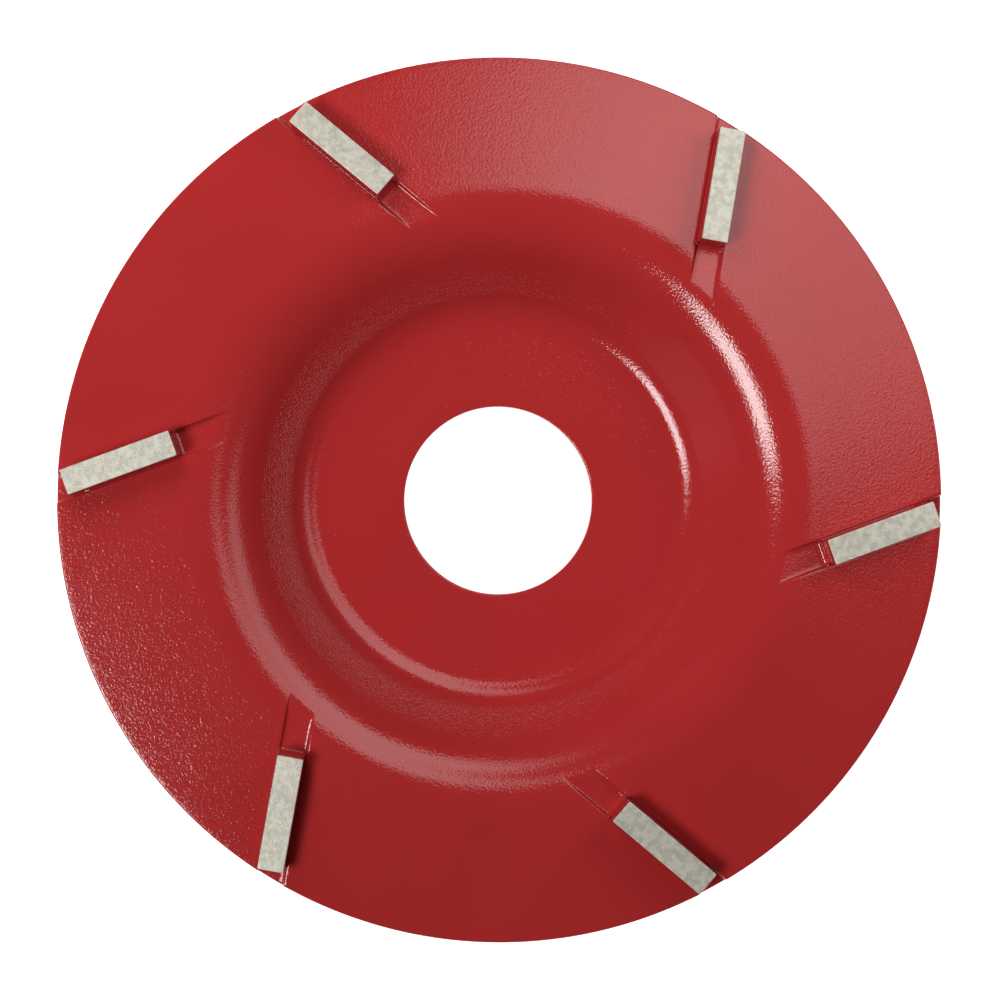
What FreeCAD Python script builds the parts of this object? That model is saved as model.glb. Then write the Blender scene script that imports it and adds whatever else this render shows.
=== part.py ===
import FreeCAD, Part
import math
import os

# Carving disc for an angle grinder: a dished steel body with a flat hub, and carbide bars brazed
# into shallow slots milled across its raised rim. Units are millimetres and degrees.
# The origin is on the spindle axis at the hub's rear face; +Z points to the working side.

# Driving dimensions of the disc body
rimDiameter = 101.6
boreDiameter = 22.23
plateThickness = 2.5
hubFaceRadius = 20.6  # flat front face of the hub
hubBendRadius = 4.6  # front surface, where the hub turns up into the wall
wallAngle = 50.0  # slope of the dish wall
wallRun = 3.35  # straight part of the wall, measured along the radius
crestBendRadius = 9.8  # front surface, where the wall turns over onto the rim
rimFallAngle = 6.0  # the rim falls away towards its edge
boreEdgeBreak = 0.2
rimEdgeRadius = 0.25

# Driving dimensions of the teeth, their slots and the braze
toothCount = 6
toothLength = 13.2
toothWidth = 3.0
toothHeight = 3.2
toothEdgeBreak = 0.06
toothRimInset = 0.5  # the tooth's outermost top corner stays this far inside the rim
toothSkew = 24.9  # turned from the radial direction, so the edge makes a slicing cut
firstToothAzimuth = -5.2
slotDepth = 0.55
brazeSideGap = 0.08  # clearance between tooth and slot wall, filled with braze
brazeBedThickness = 0.1  # clearance between tooth and slot floor, filled with braze
brazeFilletLeg = 0.55  # concave bead across the tooth's inner end
brazeShortfall = 0.05  # braze in the side gaps stops this far below the slot's mouth

# Derived sizes
rimRadius = rimDiameter / 2
boreRadius = boreDiameter / 2
slotWidth = toothWidth + 2 * brazeSideGap
zAxis = FreeCAD.Vector(0, 0, 1)


def sine(angle):
    return math.sin(math.radians(angle))


def cosine(angle):
    return math.cos(math.radians(angle))


def tangent(angle):
    return math.tan(math.radians(angle))


# Bend centres: the hub bend curls upwards about a point above the plate, the crest bend
# curls downwards about a point below it. Both surfaces of the plate share these centres.
hubBendRadial = hubFaceRadius
hubBendHeight = plateThickness + hubBendRadius
wallTopRadial = hubFaceRadius + hubBendRadius * sine(wallAngle) + wallRun
wallTopHeight = hubBendHeight - hubBendRadius * cosine(wallAngle) + wallRun * tangent(wallAngle)
crestRadial = wallTopRadial + crestBendRadius * sine(wallAngle)
crestBendHeight = wallTopHeight - crestBendRadius * cosine(wallAngle)


def profilePoint(radial, height):
    return FreeCAD.Vector(radial, 0, height)


def hubBendPoint(offset, slope):
    # on the hub bend of the surface that lies offset below the front surface
    reach = hubBendRadius + offset
    return profilePoint(hubBendRadial + reach * sine(slope), hubBendHeight - reach * cosine(slope))


def crestBendPoint(offset, slope):
    # on the crest bend; the slope is positive on the wall side and negative on the rim side
    reach = crestBendRadius - offset
    return profilePoint(crestRadial - reach * sine(slope), crestBendHeight + reach * cosine(slope))


def rimHeight(offset, radial):
    # height of the falling rim surface, offset below the front surface
    start = crestBendPoint(offset, -rimFallAngle)
    return start.z - (radial - start.x) * tangent(rimFallAngle)


def arcThrough(start, middle, end):
    return Part.Arc(start, middle, end).toShape()


def lineBetween(start, end):
    return Part.LineSegment(start, end).toShape()


def surfaceEdges(offset, innerRadius, outerRadius):
    # one surface of the plate from the bore side to the rim side
    hubEdge = profilePoint(innerRadius, plateThickness - offset)
    hubEnd = hubBendPoint(offset, 0)
    wallFoot = hubBendPoint(offset, wallAngle)
    wallTop = crestBendPoint(offset, wallAngle)
    rimStart = crestBendPoint(offset, -rimFallAngle)
    rimEnd = profilePoint(outerRadius, rimHeight(offset, outerRadius))
    return [
        lineBetween(hubEdge, hubEnd),
        arcThrough(hubEnd, hubBendPoint(offset, wallAngle / 2), wallFoot),
        lineBetween(wallFoot, wallTop),
        arcThrough(wallTop, crestBendPoint(offset, 0), rimStart),
        lineBetween(rimStart, rimEnd),
    ]


def isAt(edge, radius):
    # true for the circular edges of one radius
    curve = edge.Curve
    return isinstance(curve, Part.Circle) and abs(curve.Radius - radius) < 1e-6


def dishedBlank():
    front = surfaceEdges(0, boreRadius, rimRadius)
    rear = surfaceEdges(plateThickness, boreRadius, rimRadius)
    boreLine = lineBetween(profilePoint(boreRadius, 0), profilePoint(boreRadius, plateThickness))
    rimTop = profilePoint(rimRadius, rimHeight(0, rimRadius))
    rimFoot = profilePoint(rimRadius, rimHeight(plateThickness, rimRadius))
    outline = Part.Wire(Part.__sortEdges__(front + rear + [boreLine, lineBetween(rimTop, rimFoot)]))
    blank = Part.Face(outline).revolve(FreeCAD.Vector(0, 0, 0), zAxis, 360)
    boreEdges = [edge for edge in blank.Edges if isAt(edge, boreRadius)]
    blank = blank.makeChamfer(boreEdgeBreak, boreEdges)
    rimEdges = [edge for edge in blank.Edges if isAt(edge, rimRadius)]
    return blank.makeFillet(rimEdgeRadius, rimEdges)


# Place of the tooth's middle, worked back from its outermost top corner
toothTop = brazeBedThickness + toothHeight
cornerAlongSlope = toothLength / 2 * cosine(toothSkew) + toothWidth / 2 * sine(toothSkew)
cornerOutward = cornerAlongSlope * cosine(rimFallAngle) + toothTop * sine(rimFallAngle)
cornerAcross = toothLength / 2 * sine(toothSkew) - toothWidth / 2 * cosine(toothSkew)
toothCentreRadius = math.sqrt((rimRadius - toothRimInset) ** 2 - cornerAcross**2) - cornerOutward


def slotPlacement(index):
    # local X runs out along the slot, local Z stands square on the slot floor, and the
    # local origin is on the floor at the middle of the tooth
    azimuth = firstToothAzimuth + index * 360 / toothCount
    floorHeight = rimHeight(0, toothCentreRadius) - slotDepth / cosine(rimFallAngle)
    turn = FreeCAD.Placement(FreeCAD.Vector(0, 0, 0), FreeCAD.Rotation(zAxis, azimuth))
    tilt = FreeCAD.Rotation(FreeCAD.Vector(0, 1, 0), rimFallAngle)
    stand = FreeCAD.Placement(FreeCAD.Vector(toothCentreRadius, 0, floorHeight), tilt)
    skew = FreeCAD.Placement(FreeCAD.Vector(0, 0, 0), FreeCAD.Rotation(zAxis, toothSkew))
    return turn.multiply(stand).multiply(skew)


def barBetween(startX, endX, width, bottom, top):
    corner = FreeCAD.Vector(startX, -width / 2, bottom)
    return Part.makeBox(endX - startX, width, top - bottom, corner)


def slotCutter():
    # long enough to leave at the rim and to run out on the crest bend
    outward = rimRadius - toothCentreRadius * cosine(toothSkew) + slotWidth
    inward = (toothCentreRadius - hubFaceRadius) * cosine(toothSkew)
    return barBetween(-inward, outward, slotWidth, 0, toothTop)


def toothBar():
    bar = barBetween(-toothLength / 2, toothLength / 2, toothWidth, 0, toothHeight)
    bar.translate(FreeCAD.Vector(0, 0, brazeBedThickness))
    topEdges = [edge for edge in bar.Edges if abs(edge.BoundBox.ZMin - toothTop) < 1e-6]
    return bar.makeChamfer(toothEdgeBreak, topEdges)


def brazeFilletPrism():
    # concave bead between the slot floor and the inner end of the tooth
    end = -toothLength / 2
    root = FreeCAD.Vector(end, -slotWidth / 2, 0)
    toe = FreeCAD.Vector(end - brazeFilletLeg, -slotWidth / 2, 0)
    top = FreeCAD.Vector(end, -slotWidth / 2, brazeFilletLeg)
    dip = brazeFilletLeg * (1 - math.sqrt(0.5))
    middle = FreeCAD.Vector(end - dip, -slotWidth / 2, dip)
    edges = [lineBetween(root, toe), arcThrough(toe, middle, top), lineBetween(top, root)]
    return Part.Face(Part.Wire(edges)).extrude(FreeCAD.Vector(0, slotWidth, 0))


def brazeBed():
    bed = barBetween(-toothLength / 2, toothLength / 2, slotWidth, 0, slotDepth - brazeShortfall)
    return bed.cut(toothBar()).fuse(brazeFilletPrism()).removeSplitter()


def placed(shape, index):
    moved = shape.copy()
    moved.Placement = slotPlacement(index)
    return moved


def singleSolid(shape):
    return shape.Solids[0] if len(shape.Solids) == 1 else shape


def save(shape, name):
    solid = singleSolid(shape)
    print(name, "valid", solid.isValid(), "solids", len(solid.Solids), "volume", round(solid.Volume, 3))
    solid.exportStep(os.path.join("parts", name + ".step"))


os.makedirs("parts", exist_ok=True)
body = dishedBlank()
for index in range(toothCount):
    body = body.cut(placed(slotCutter(), index))
save(body, "disc_body")
for index in range(toothCount):
    save(placed(toothBar(), index), f"tooth_{index + 1}")
    save(placed(brazeBed(), index), f"braze_{index + 1}")
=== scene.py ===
import bmesh
import bpy
import math
from mathutils import Matrix, Vector


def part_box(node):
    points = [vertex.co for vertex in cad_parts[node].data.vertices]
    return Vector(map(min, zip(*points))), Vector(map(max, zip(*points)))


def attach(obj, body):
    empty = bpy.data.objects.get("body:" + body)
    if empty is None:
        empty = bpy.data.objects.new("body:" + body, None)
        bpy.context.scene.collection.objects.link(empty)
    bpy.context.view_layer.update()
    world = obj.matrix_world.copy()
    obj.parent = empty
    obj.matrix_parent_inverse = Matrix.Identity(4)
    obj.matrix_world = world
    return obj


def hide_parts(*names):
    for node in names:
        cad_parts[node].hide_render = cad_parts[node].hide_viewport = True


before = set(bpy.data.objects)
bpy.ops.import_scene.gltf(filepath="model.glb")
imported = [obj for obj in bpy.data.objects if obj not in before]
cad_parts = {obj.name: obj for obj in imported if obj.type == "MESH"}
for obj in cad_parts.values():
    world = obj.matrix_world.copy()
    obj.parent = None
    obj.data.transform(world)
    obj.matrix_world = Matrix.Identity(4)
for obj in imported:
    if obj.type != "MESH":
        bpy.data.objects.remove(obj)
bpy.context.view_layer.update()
print("frame loaded:", len(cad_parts), "nodes")

mm = 0.001  # lengths below are in millimetres and angles in degrees
bodyLow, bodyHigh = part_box("disc_body")
rimRadius = (bodyHigh.x - bodyLow.x) / 2 / mm
toothNames = sorted(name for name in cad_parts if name.startswith("tooth_"))


def sine(angle):
    return math.sin(math.radians(angle))


def cosine(angle):
    return math.cos(math.radians(angle))


def tangent(angle):
    return math.tan(math.radians(angle))


def sweep(first, last, steps):
    # evenly spaced values with both ends in
    return [first + (last - first) * step / steps for step in range(steps + 1)]


def finishPiece(mesh, name, material, cadNode, flatAbove=math.inf):
    # faces larger than flatAbove, in square millimetres, keep flat shading
    data = bpy.data.meshes.new(name)
    for face in mesh.faces:
        face.smooth = face.calc_area() < flatAbove
    mesh.transform(Matrix.Scale(mm, 4))
    mesh.to_mesh(data)
    mesh.free()
    piece = bpy.data.objects.new(name, data)
    bpy.context.collection.objects.link(piece)
    data.materials.append(material)
    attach(piece, "root")
    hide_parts(cadNode)


class Wire:
    # a shader socket that the usual signs work on
    def __init__(self, tree, socket=None):
        self.tree = tree
        self.socket = socket

    def make(self, kind, settings=None, inputs=None, output=0):
        node = self.tree.nodes.new("ShaderNode" + kind)
        for name, value in (settings or {}).items():
            setattr(node, name, value)
        for name, value in (inputs or {}).items():
            if isinstance(value, Wire):
                self.tree.links.new(value.socket, node.inputs[name])
            else:
                node.inputs[name].default_value = value
        return Wire(self.tree, node.outputs[output] if node.outputs else None)

    def maths(self, operation, first, second):
        return self.make("Math", {"operation": operation}, {0: first, 1: second})

    def __add__(self, other):
        return self.maths("ADD", self, other)

    def __radd__(self, other):
        return self.maths("ADD", other, self)

    def __sub__(self, other):
        return self.maths("SUBTRACT", self, other)

    def __rsub__(self, other):
        return self.maths("SUBTRACT", other, self)

    def __mul__(self, other):
        return self.maths("MULTIPLY", self, other)

    def __rmul__(self, other):
        return self.maths("MULTIPLY", other, self)

    def blendColour(self, first, second):
        # this value mixes two colours; 6 and 7 are the Mix node's colour inputs, 2 its output
        inputs = {0: self, 6: first, 7: second}
        return self.make("Mix", {"data_type": "RGBA"}, inputs, 2)

    def band(self, low, high):
        # 0 below low, 1 above high, smooth between
        settings = {"interpolation_type": "SMOOTHSTEP"}
        return self.make("MapRange", settings, {"Value": self, "From Min": low, "From Max": high})


def newMaterial(name):
    material = bpy.data.materials.new(name)
    material.use_nodes = True
    material.node_tree.nodes.clear()
    return material, Wire(material.node_tree)


def closeMaterial(wire, inputs):
    shader = wire.make("BsdfPrincipled", None, inputs)
    wire.make("OutputMaterial", None, {"Surface": shader})


def millimetres(wire):
    # object coordinates in millimetres
    place = wire.make("TexCoord", output=3)
    return wire.make("Mapping", None, {"Vector": place, "Scale": [1 / mm] * 3})


def grain(wire, place, size, detail=2.0, roughness=0.5):
    # noise whose lumps are about size millimetres across
    inputs = {"Vector": place, "Scale": 1 / size, "Detail": detail, "Roughness": roughness}
    return wire.make("TexNoise", None, inputs)


def bumped(wire, height):
    # the normal of a surface whose height is given in millimetres
    return wire.make("Bump", None, {"Strength": 1.0, "Distance": mm, "Height": height})


# red gloss paint over the steel, the braze and the teeth's sides
paint = {
    "colour": (0.445, 0.0268, 0.0278, 1),
    "deep": (0.424, 0.0254, 0.0258, 1),
    "cloudSize": 14.0,  # the two reds drift into each other over this distance
    "gloss": 0.06,  # roughness of clean paint
    "grainGloss": 0.05,  # roughness that the crinkle adds
    "peelSize": 0.9,  # orange peel
    "peelHeight": 0.008,
    "grainSize": 0.29,  # fine crinkle
    "grainHeight": 0.026,
    "dust": (0.62, 0.20, 0.18, 1),
    "dustShow": 0.35,
    "dustGloss": 0.2,  # roughness that dust adds
    "dustSpacing": 1.3,
    "dustSpot": (0.02, 0.075),  # a speck's solid and outer radius, as shares of the spacing
    "dustPatch": 2.3,  # specks show only in patches of this size
    "dustHeight": 0.012,
}


def paintRelief(wire, place):
    # the crinkle by itself, then the height of the crinkle and the orange peel together
    peel = grain(wire, place, paint["peelSize"], 3.0, 0.45)
    fine = grain(wire, place, paint["grainSize"])
    return fine, peel * paint["peelHeight"] + fine * paint["grainHeight"]


def makePaint():
    material, wire = newMaterial("red_gloss_paint")
    place = millimetres(wire)
    cloud = grain(wire, place, paint["cloudSize"], 4.0).band(0.3, 0.7)
    colour = cloud.blendColour(paint["deep"], paint["colour"])
    fine, relief = paintRelief(wire, place)
    cells = wire.make("TexVoronoi", None, {"Vector": place, "Scale": 1 / paint["dustSpacing"]})
    patches = grain(wire, place, paint["dustPatch"], 1.0).band(0.60, 0.66)
    dust = (1 - cells.band(*paint["dustSpot"])) * patches
    closeMaterial(wire, {
        "Base Color": (dust * paint["dustShow"]).blendColour(colour, paint["dust"]),
        "Roughness": paint["gloss"] + fine * paint["grainGloss"] + dust * paint["dustGloss"],
        "Normal": bumped(wire, relief + dust * paint["dustHeight"]),
        "IOR": 1.5,
    })
    return material


paintMaterial = makePaint()

# the teeth's ground tops
carbide = {
    "colour": (0.47, 0.456, 0.38, 1),
    "metallic": 0.25,
    "roughness": 0.37,
    "pale": (0.66, 0.64, 0.535, 1),
    "mottleSize": 0.75,  # soft mottling in the pale tone
    "mottleRoughness": 0.16,
    "mottleHeight": 0.012,
    "warm": (0.60, 0.52, 0.45, 1),
    "warmSize": 1.3,
    "warmShow": 0.3,
    # flecks: partly the carbide's own pale grains and partly painted glints, a near-white colour
    # that stands in for sparkle of light
    "paleFleckAndGlint": (0.84, 0.82, 0.72, 1),
    "fleckSize": 0.2,
    "fleckAndGlintShow": 0.8,
    "fleckPolish": 0.12,
    "fleckHeight": 0.030,
    "edgeSize": 0.35,  # the paint ends raggedly at the top's edge
    "edgeReach": 0.25,
}


def makeToothMaterial():
    # bare ground carbide on top, paint down the sides
    material, wire = newMaterial("carbide_and_paint")
    place = millimetres(wire)
    mottle = grain(wire, place, carbide["mottleSize"], 3.0, 0.55)
    flecksAndGlints = grain(wire, place, carbide["fleckSize"])
    warmth = grain(wire, place, carbide["warmSize"]).band(0.35, 0.65) * carbide["warmShow"]
    # the flecks' pale colour is partly painted glint; their polish and height are real
    fleckAndGlintShow = flecksAndGlints.band(0.62, 0.74) * carbide["fleckAndGlintShow"]
    polish = flecksAndGlints.band(0.55, 0.75) * carbide["fleckPolish"]
    metalColour = mottle.band(0.34, 0.66).blendColour(carbide["colour"], carbide["pale"])
    metalColour = warmth.blendColour(metalColour, carbide["warm"])
    metalColour = fleckAndGlintShow.blendColour(metalColour, carbide["paleFleckAndGlint"])
    metalRoughness = carbide["roughness"] + mottle * carbide["mottleRoughness"] - polish
    metalHeight = mottle * carbide["mottleHeight"] + flecksAndGlints * carbide["fleckHeight"]
    paintHeight = paintRelief(wire, place)[1]
    ragged = (grain(wire, place, carbide["edgeSize"]) - 0.5) * carbide["edgeReach"]
    # the attribute's second output is its value as one number
    bare = wire.make("Attribute", {"attribute_name": "bare"}, output=2)
    mask = (bare + ragged).band(0.45, 0.55)
    closeMaterial(wire, {
        "Base Color": mask.blendColour(paint["colour"], metalColour),
        "Metallic": mask * carbide["metallic"],
        "Roughness": paint["gloss"] * (1 - mask) + metalRoughness * mask,
        "Normal": bumped(wire, paintHeight * (1 - mask) + metalHeight * mask),
    })
    return material


toothMaterial = makeToothMaterial()
print("materials made")

# the dished steel body
body = {
    "boreRadius": 11.02,  # a paint film narrows the bore
    "plate": 2.5,
    "hubFace": 20.6,
    "hubBend": 4.6,
    "wallAngle": 50.0,
    "wallRun": 3.35,
    "crestBend": 9.8,
    "rimFall": 6.0,
    "boreRound": 0.2,
    "rimRound": 0.25,
    "roundSteps": 5,
    "turns": 384,  # columns round the disc, a multiple of the tooth count
}
slot = {
    "skew": 24.9,
    "width": 3.16,
    "depth": 0.55,
    "lipRound": 0.18,  # paint rounds the slot's upper edges
    "cornerRound": 0.36,  # and gathers in its bottom corners
    "margin": 1.1,  # fine columns reach this far past the slot's edge
    "freeze": 31.0,  # inside this radius the columns leave the slots' lines
    "even": 26.0,  # and inside this one they are evenly spaced again
    "merge": 0.0005,  # points closer than this are one
}
tooth = {
    "length": 13.2,
    "width": 3.0,
    "height": 3.2,
    "cornerRound": 0.16,
    "topRound": 0.09,
}
braze = {
    "bed": 0.1,  # under the tooth
    "bead": 0.55,  # across the tooth's inner end
    "shortfall": 0.05,  # the side gaps are filled to just below the slot's mouth
    "cornerRound": 0.42,
    "step": 0.004,  # between two points that make a sharp step
    "merge": 0.001,
}


def profileBends():
    hubBendHeight = body["plate"] + body["hubBend"]
    wallTop = body["hubFace"] + body["hubBend"] * sine(body["wallAngle"]) + body["wallRun"]
    wallTopHeight = hubBendHeight - body["hubBend"] * cosine(body["wallAngle"])
    wallTopHeight += body["wallRun"] * tangent(body["wallAngle"])
    crest = wallTop + body["crestBend"] * sine(body["wallAngle"])
    crestHeight = wallTopHeight - body["crestBend"] * cosine(body["wallAngle"])
    return hubBendHeight, crest, crestHeight


hubBendHeight, crestRadial, crestBendHeight = profileBends()
columnsPerSlot = body["turns"] // len(toothNames)


def crestPoint(offset, slope):
    # offset is measured down from the front face
    reach = body["crestBend"] - offset
    return Vector((crestRadial - reach * sine(slope), 0, crestBendHeight + reach * cosine(slope)))


def hubPoint(offset, slope):
    reach = body["hubBend"] + offset
    return Vector((body["hubFace"] + reach * sine(slope), 0, hubBendHeight - reach * cosine(slope)))


def rimHeight(offset, radial):
    start = crestPoint(offset, -body["rimFall"])
    return start.z - (radial - start.x) * tangent(body["rimFall"])


def surfacePoints(offset, rimRows):
    # one face of the plate, from the bore to the start of the rim's rounding
    inner = body["boreRadius"] + body["boreRound"]
    height = body["plate"] - offset
    points = [Vector((radial, 0, height)) for radial in sweep(inner, body["hubFace"], 6)[:-1]]
    points += [hubPoint(offset, slope) for slope in sweep(0, body["wallAngle"], 12)]
    points += [crestPoint(offset, slope) for slope in sweep(body["wallAngle"], -body["rimFall"], 22)]
    radials = sweep(points[-1].x, rimRadius - body["rimRound"], rimRows)[1:]
    return points + [Vector((radial, 0, rimHeight(offset, radial))) for radial in radials]


def cornerPoints(centreX, centreZ, radius, fromAngle, toAngle):
    angles = sweep(fromAngle, toAngle, body["roundSteps"])[1:]
    return [Vector((centreX + radius * cosine(a), 0, centreZ + radius * sine(a))) for a in angles]


def bodyProfile():
    # the closed outline, and how many of its points are on the front face
    front = surfacePoints(0, 26)
    rear = surfacePoints(body["plate"], 8)
    boreRound, rimRound = body["boreRound"], body["rimRound"]
    rimEdge = rimRadius - rimRound
    boreEdge = body["boreRadius"] + boreRound
    topZ = rimHeight(0, rimEdge) - rimRound
    lowZ = rimHeight(body["plate"], rimEdge) + rimRound
    boreTopZ = body["plate"] - boreRound
    points = front + cornerPoints(rimEdge, topZ, rimRound, 90, 0)
    points += [Vector((rimRadius, 0, lowZ))] + cornerPoints(rimEdge, lowZ, rimRound, 0, -90)[:-1]
    points += list(reversed(rear))
    points += cornerPoints(boreEdge, boreRound, boreRound, 270, 180)
    points += [Vector((body["boreRadius"], 0, boreTopZ))]
    points += cornerPoints(boreEdge, boreTopZ, boreRound, 180, 90)[:-1]
    return points, len(front)


def toothPlace(name):
    # the local origin is on the slot floor at the tooth's middle, local X runs outwards
    low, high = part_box(name)
    middle = (low + high) / 2 / mm
    turn = Matrix.Rotation(math.atan2(middle.y, middle.x), 4, "Z")
    tilt = Matrix.Rotation(math.radians(body["rimFall"]), 4, "Y")
    skew = Matrix.Rotation(math.radians(slot["skew"]), 4, "Z")
    drop = Matrix.Translation((0, 0, -tooth["height"] / 2 - braze["bed"]))
    return Matrix.Translation(middle) @ turn @ tilt @ skew @ drop


def slotSection():
    # (distance from the slot's middle line, nominal depth), from one side to the other
    lip, corner, half = slot["lipRound"], slot["cornerRound"], slot["width"] / 2
    angles = sweep(0, 90, 4)
    side = [(half + slot["margin"], 0), (half + slot["margin"] * 0.6, 0), (half + lip * 2.5, 0)]
    side += [(half + lip * (1 - sine(a)), lip * (1 - cosine(a))) for a in angles]
    side += [(half - corner * (1 - cosine(a)), lip + corner * sine(a)) for a in angles[1:]]
    side += [(half * 0.55, lip + corner), (half * 0.18, lip + corner)]
    return [(-across, depth) for across, depth in side] + side[::-1]


def slotAzimuth(radius, across, place):
    # where the line that lies across from the slot's middle meets a circle about the axis
    origin = place.translation
    along = place.to_3x3() @ Vector((1, 0, 0))
    heading = math.atan2(along.y, along.x)
    distance = origin.x * math.sin(heading) - origin.y * math.cos(heading)
    return heading - math.asin((distance - across) / max(radius, slot["freeze"]))


def columnAzimuth(radius, step, section, place, following):
    # columns run along a slot beside and inside it, then share out the way to the next slot
    if step < len(section):
        azimuth = slotAzimuth(radius, section[step][0], place)
    else:
        first = slotAzimuth(radius, section[-1][0], place)
        last = slotAzimuth(radius, section[0][0], following)
        share = (step - len(section) + 1) / (columnsPerSlot - len(section) + 1)
        azimuth = first + ((last - first) % math.tau) * share
    # towards the hub they go over to even spacing
    fromMiddle = (step - (len(section) - 1) / 2) * math.tau / body["turns"]
    even = slotAzimuth(radius, 0, place) + fromMiddle
    evenShare = (slot["freeze"] - radius) / (slot["freeze"] - slot["even"])
    return azimuth + (even - azimuth) * min(1, max(0, evenShare))


def slotDrop(depth, floor):
    # how far a point sinks, where the slot floor lies floor below the face; near its inner
    # end the slot is shallow, so the lip and the corner shrink together
    if floor <= 0:
        return 0
    nominal = slot["lipRound"] + slot["cornerRound"]
    full = floor / cosine(body["rimFall"])
    shallow = min(1, full / nominal)
    onLip = depth < slot["lipRound"] + slot["merge"]
    return depth * shallow if onLip else full - (nominal - depth) * shallow


def sinkSlots(mesh, rowLayer, profile, frontCount):
    # the spun columns are turned to run along each slot, and those inside it are lowered
    places = [toothPlace(name) for name in toothNames]
    places.sort(key=lambda place: math.atan2(place.translation.y, place.translation.x) % math.tau)
    section = slotSection()
    for vert in mesh.verts:
        row = vert[rowLayer]
        radius = profile[row].x
        turnShare = math.atan2(vert.co.y, vert.co.x) / math.tau
        column = round(turnShare * body["turns"]) % body["turns"]
        index, step = divmod(column, columnsPerSlot)
        place = places[index]
        azimuth = columnAzimuth(radius, step, section, place, places[(index + 1) % len(places)])
        vert.co.x = radius * math.cos(azimuth)
        vert.co.y = radius * math.sin(azimuth)
        depth = section[step][1] if step < len(section) else 0
        if depth and row < frontCount + body["roundSteps"]:
            surface = profile[min(row, frontCount - 1)]
            local = place.inverted() @ Vector((vert.co.x, vert.co.y, surface.z))
            vert.co.z -= slotDrop(depth, local.z)


def makeBody():
    mesh = bmesh.new()
    profile, frontCount = bodyProfile()
    rowLayer = mesh.verts.layers.int.new("row")
    verts = [mesh.verts.new(point) for point in profile]
    for row, vert in enumerate(verts):
        vert[rowLayer] = row
    edges = [mesh.edges.new((verts[i - 1], verts[i])) for i in range(len(verts))]
    settings = {"cent": (0, 0, 0), "axis": (0, 0, 1), "angle": math.tau, "steps": body["turns"]}
    bmesh.ops.spin(mesh, geom=verts + edges, use_merge=True, **settings)
    sinkSlots(mesh, rowLayer, profile, frontCount)
    mesh.verts.layers.int.remove(rowLayer)
    bmesh.ops.remove_doubles(mesh, verts=mesh.verts, dist=slot["merge"])
    bmesh.ops.recalc_face_normals(mesh, faces=mesh.faces)
    finishPiece(mesh, "dished_body", paintMaterial, "disc_body")


makeBody()
print("body made")


def makeTooth(name):
    length, width, height = tooth["length"], tooth["width"], tooth["height"]
    mesh = bmesh.new()
    bmesh.ops.create_cube(mesh, size=1)
    bmesh.ops.scale(mesh, vec=(length, width, height), verts=mesh.verts)
    bmesh.ops.translate(mesh, vec=(0, 0, braze["bed"] + height / 2), verts=mesh.verts)
    upright = [e for e in mesh.edges if abs(e.verts[0].co.z - e.verts[1].co.z) > height / 2]
    options = {"affect": "EDGES", "profile": 0.5, "material": -1}
    bmesh.ops.bevel(mesh, geom=upright, offset=tooth["cornerRound"], segments=4, **options)
    top = braze["bed"] + height
    topEdges = [e for e in mesh.edges if min(v.co.z for v in e.verts) > top - 1e-5]
    bmesh.ops.bevel(mesh, geom=topEdges, offset=tooth["topRound"], segments=2, **options)
    bare = mesh.verts.layers.float.new("bare")
    for vert in mesh.verts:
        vert[bare] = 1.0 if vert.co.z > top - tooth["topRound"] * 0.9 else 0.0
    mesh.transform(toothPlace(name))
    pieceName = name.replace("tooth", "cutting_bar")
    finishPiece(mesh, pieceName, toothMaterial, name, flatAbove=4)


for name in toothNames:
    makeTooth(name)
print("teeth made:", len(toothNames))


def brazeHeight(x, y):
    # bed under the tooth, fill beside it and a concave bead at its inner end
    end, side = tooth["length"] / 2, tooth["width"] / 2
    bead, corner = braze["bead"], braze["cornerRound"]
    fill = slot["depth"] - braze["shortfall"]
    if abs(x) < end and abs(y) < side:
        return braze["bed"]
    if x > -end:
        return fill
    beyond = min(bead, -end - x)
    height = bead - math.sqrt(max(0, bead**2 - (bead - beyond) ** 2))
    gap = max(0, slot["width"] / 2 - abs(y))
    if gap < corner:
        height += corner - math.sqrt(corner**2 - (corner - gap) ** 2)
    return min(height, fill + (bead - slot["depth"]) * (1 - beyond / bead))


def makeBraze(name):
    mesh = bmesh.new()
    end, half, side = tooth["length"] / 2, slot["width"] / 2, tooth["width"] / 2
    corner, step = braze["cornerRound"], braze["step"]
    alongs = sweep(-end - braze["bead"], -end - step, 12) + sweep(-end + step, end - step, 6)
    acrosses = sweep(-half, -half + corner, 6) + sweep(-side * 0.7, side * 0.7, 6)
    acrosses += sweep(half - corner, half, 6)
    acrosses += [side + step, side - step, step - side, -side - step]
    acrosses.sort()
    lastAlong, lastAcross = len(alongs) - 1, len(acrosses) - 1
    made = bmesh.ops.create_grid(mesh, x_segments=lastAlong, y_segments=lastAcross, size=1)
    for vert in made["verts"]:
        x = alongs[round((vert.co.x + 1) / 2 * lastAlong)]
        y = acrosses[round((vert.co.y + 1) / 2 * lastAcross)]
        vert.co = (x, y, brazeHeight(x, y))
    # the skirt goes down to the slot floor, where one face closes it
    outline = [edge for edge in mesh.edges if edge.is_boundary]
    skirt = bmesh.ops.extrude_edge_only(mesh, edges=outline)["geom"]
    for part in skirt:
        if isinstance(part, bmesh.types.BMVert):
            part.co.z = 0
    foot = [edge for edge in mesh.edges if edge.is_boundary]
    bmesh.ops.contextual_create(mesh, geom=foot)
    bmesh.ops.remove_doubles(mesh, verts=mesh.verts, dist=braze["merge"])
    bmesh.ops.recalc_face_normals(mesh, faces=mesh.faces)
    mesh.transform(toothPlace(name))
    pieceName = name.replace("tooth", "braze_bead")
    finishPiece(mesh, pieceName, paintMaterial, name.replace("tooth", "braze"))


for name in toothNames:
    makeBraze(name)
print("braze made")

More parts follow.
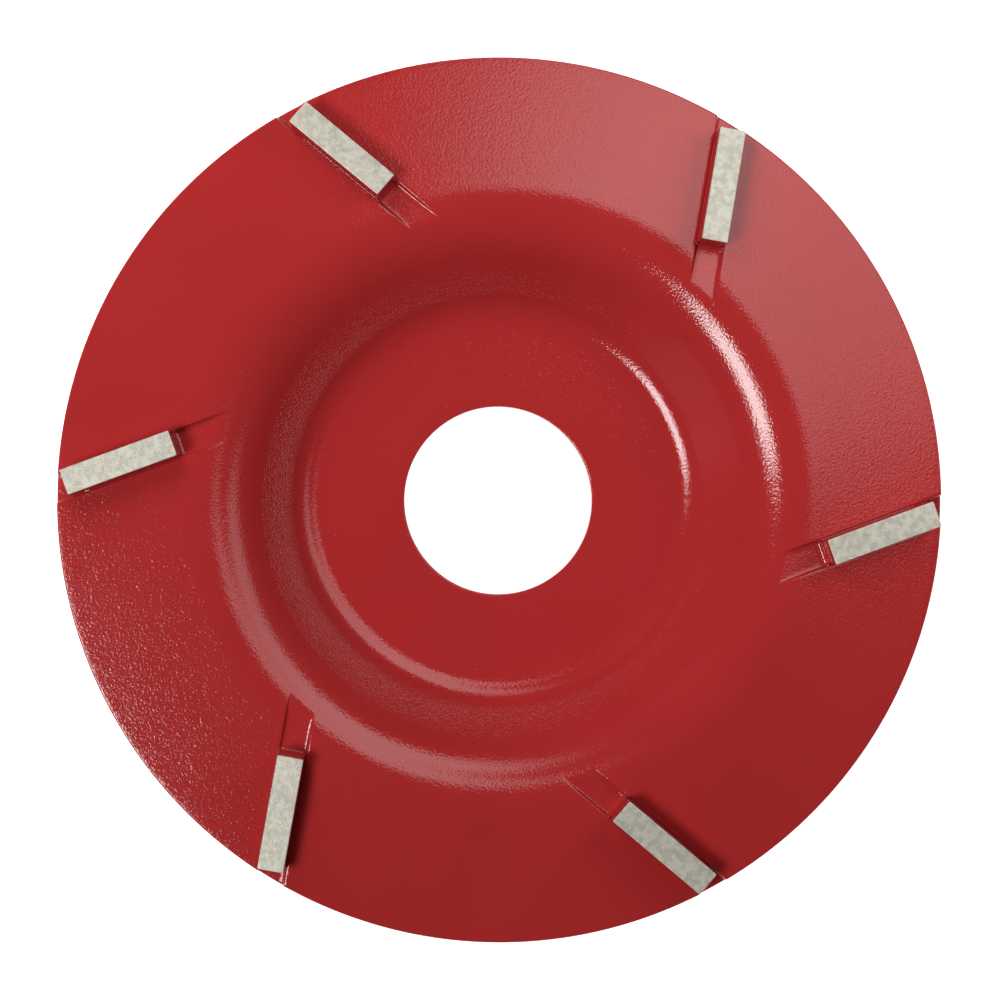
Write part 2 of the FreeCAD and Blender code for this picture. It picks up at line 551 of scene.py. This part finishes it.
# studio: a pale glowing floor, a key panel, a layered glow in the gloss and two low fills
studio = {
    "floorSize": 1200.0,
    "floorGap": 0.02,
    "floorColour": (0.86, 0.86, 0.855, 1),
    "floorGlow": 1.1,
    "air": 0.01,  # the air gives hardly any light
    "backdrop": 1.0,  # but the far background looks as pale as the floor
    "aimHeight": 8.0,
    "glowHeight": 680.0,
    "glowStep": 8.0,
    "nearSlant": 0.45,  # slants are tangents of the tilt from the axis
    "nearDepth": 250,
    "farSlant": 0.95,
    "farDepth": 450,
}
panels = {
    "key": {"centre": (206, 35.3, 900), "size": (360, 285), "radiance": 15.4},
    "left": {"centre": (125, 52, 176), "size": (88, 88), "radiance": 4.4, "glossy": False},
    "right": {"centre": (28, 56.5, 150), "size": (75, 75), "radiance": 4.1, "glossy": False},
}
# the glow fades towards its sides; each layer is (azimuth, near width, far width, radiance)
glowLayers = [
    (47, 480, 1380, 0.9),
    (48, 390, 1080, 0.85),
    (60, 246, 680, 0.45),
    (61, 143, 400, 0.4),
]
view = {
    "height": 300.0,  # above the rim
    "left": -15.8,
    "down": -7.4,
    "focal": 94.35,
    "shift": (0.05, 0.023),
    "aim": (-5.92, -2.785),
}


def makeFloor():
    mesh = bmesh.new()
    bmesh.ops.create_grid(mesh, x_segments=1, y_segments=1, size=studio["floorSize"] * mm)
    data = bpy.data.meshes.new("pale_floor")
    mesh.to_mesh(data)
    mesh.free()
    floor = bpy.data.objects.new("pale_floor", data)
    bpy.context.collection.objects.link(floor)
    floor.location.z = -studio["floorGap"] * mm
    material, wire = newMaterial("pale_floor")
    closeMaterial(wire, {
        "Base Color": studio["floorColour"],
        "Roughness": 0.8,
        "Specular IOR Level": 0.1,
        "Emission Color": studio["floorColour"],
        "Emission Strength": studio["floorGlow"],
    })
    data.materials.append(material)


def makePanel(name, place, size, radiance, glossy=True, diffuse=True, level=False):
    # an area light that faces the disc or, if level, the floor
    light = bpy.data.lights.new(name, "AREA")
    light.shape = "RECTANGLE"
    light.size, light.size_y = size[0] * mm, size[1] * mm
    light.energy = radiance * math.pi * light.size * light.size_y
    panel = bpy.data.objects.new(name, light)
    bpy.context.collection.objects.link(panel)
    down = Vector((0, 0, -1))
    aim = Vector((0, 0, studio["aimHeight"]))
    side = place.cross(down).normalized()
    forward = down if level else (aim - place).normalized()
    up = side.cross(forward)
    turn = Matrix((side, up, -forward)).transposed().to_4x4()
    panel.matrix_world = Matrix.Translation(place * mm) @ turn
    panel.visible_glossy = glossy
    panel.visible_diffuse = diffuse
    panel.visible_camera = False


def polar(azimuth, tilt, distance):
    flat = distance * sine(tilt)
    return Vector((flat * cosine(azimuth), flat * sine(azimuth), distance * cosine(tilt)))


def overhead(azimuth, slant, height):
    flat = height * slant
    return Vector((flat * cosine(azimuth), flat * sine(azimuth), height))


def setPanel(name, settings):
    options = {key: value for key, value in settings.items() if key != "centre"}
    makePanel(name, polar(*settings["centre"]), **options)


def makeGlow():
    # only the gloss shows it; each layer is a little higher than the last, since level
    # panels in one plane would hide each other
    for index, (azimuth, nearWidth, farWidth, radiance) in enumerate(glowLayers, 1):
        height = studio["glowHeight"] + studio["glowStep"] * index
        near = overhead(azimuth, studio["nearSlant"], height)
        far = overhead(azimuth, studio["farSlant"], height)
        glow = {"radiance": radiance, "diffuse": False, "level": True}
        makePanel(f"near_glow_{index}", near, (nearWidth, studio["nearDepth"]), **glow)
        makePanel(f"far_glow_{index}", far, (farWidth, studio["farDepth"]), **glow)


def makeCamera():
    data = bpy.data.cameras.new("camera")
    data.lens = view["focal"]
    data.shift_x, data.shift_y = view["shift"]
    data.clip_start = 0.01
    camera = bpy.data.objects.new("camera", data)
    bpy.context.collection.objects.link(camera)
    rimTop = rimHeight(0, rimRadius)
    place = Vector((view["left"], view["down"], rimTop + view["height"])) * mm
    aim = Vector((*view["aim"], rimTop)) * mm
    backward = (place - aim).normalized()
    right = Vector((0, 1, 0)).cross(backward).normalized()
    turn = Matrix((right, backward.cross(right), backward)).transposed().to_4x4()
    camera.matrix_world = Matrix.Translation(place) @ turn
    bpy.context.scene.camera = camera


def makeAir():
    world = bpy.data.worlds.new("studio_air")
    world.use_nodes = True
    wire = Wire(world.node_tree)
    # the first output says whether the camera sees the background directly
    seen = wire.make("LightPath")
    strength = seen * studio["backdrop"] + studio["air"]
    background = world.node_tree.nodes["Background"]
    background.inputs["Color"].default_value = (1, 1, 1, 1)
    world.node_tree.links.new(strength.socket, background.inputs["Strength"])
    bpy.context.scene.world = world


makeFloor()
setPanel("key_softbox", panels["key"])
makeGlow()
setPanel("left_fill", panels["left"])
setPanel("right_fill", panels["right"])
makeCamera()
makeAir()
bpy.context.scene.view_settings.view_transform = "Standard"
print("studio made")
